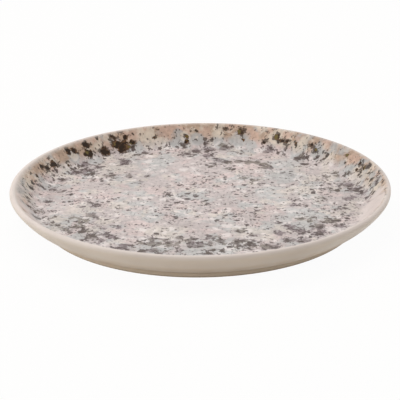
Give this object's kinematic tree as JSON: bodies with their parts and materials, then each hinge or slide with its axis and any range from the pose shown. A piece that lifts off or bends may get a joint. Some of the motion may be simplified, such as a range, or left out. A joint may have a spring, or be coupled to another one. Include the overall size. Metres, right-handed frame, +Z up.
{
  "type": "coupe dinner plate",
  "caption": "Round coupe dinner plate in glazed stoneware: flat stone-effect well, short sloping wall with a plain rounded lip, and a turned foot ring to stand on.",
  "frame": {"origin": "centre of the foot ring's resting face, on the table", "axes": "+Z up along the plate's axis of revolution; X and Y lie in the table plane and are interchangeable in shape, with -Y towards the viewer of the speckle"},
  "size_m": [0.27, 0.27, 0.024],
  "materials": {
    "bare_stoneware": "unglazed, fine and slightly rough",
    "stone_effect_glaze": "satin, granite-like speckle",
    "cream_glaze": "satin, plain cream"
  },
  "bodies": {
    "root": {"clay_body": "bare_stoneware", "face_glaze": "stone_effect_glaze", "outer_glaze": "cream_glaze", "base_glaze": "cream_glaze"}
  },
  "joints": []
}
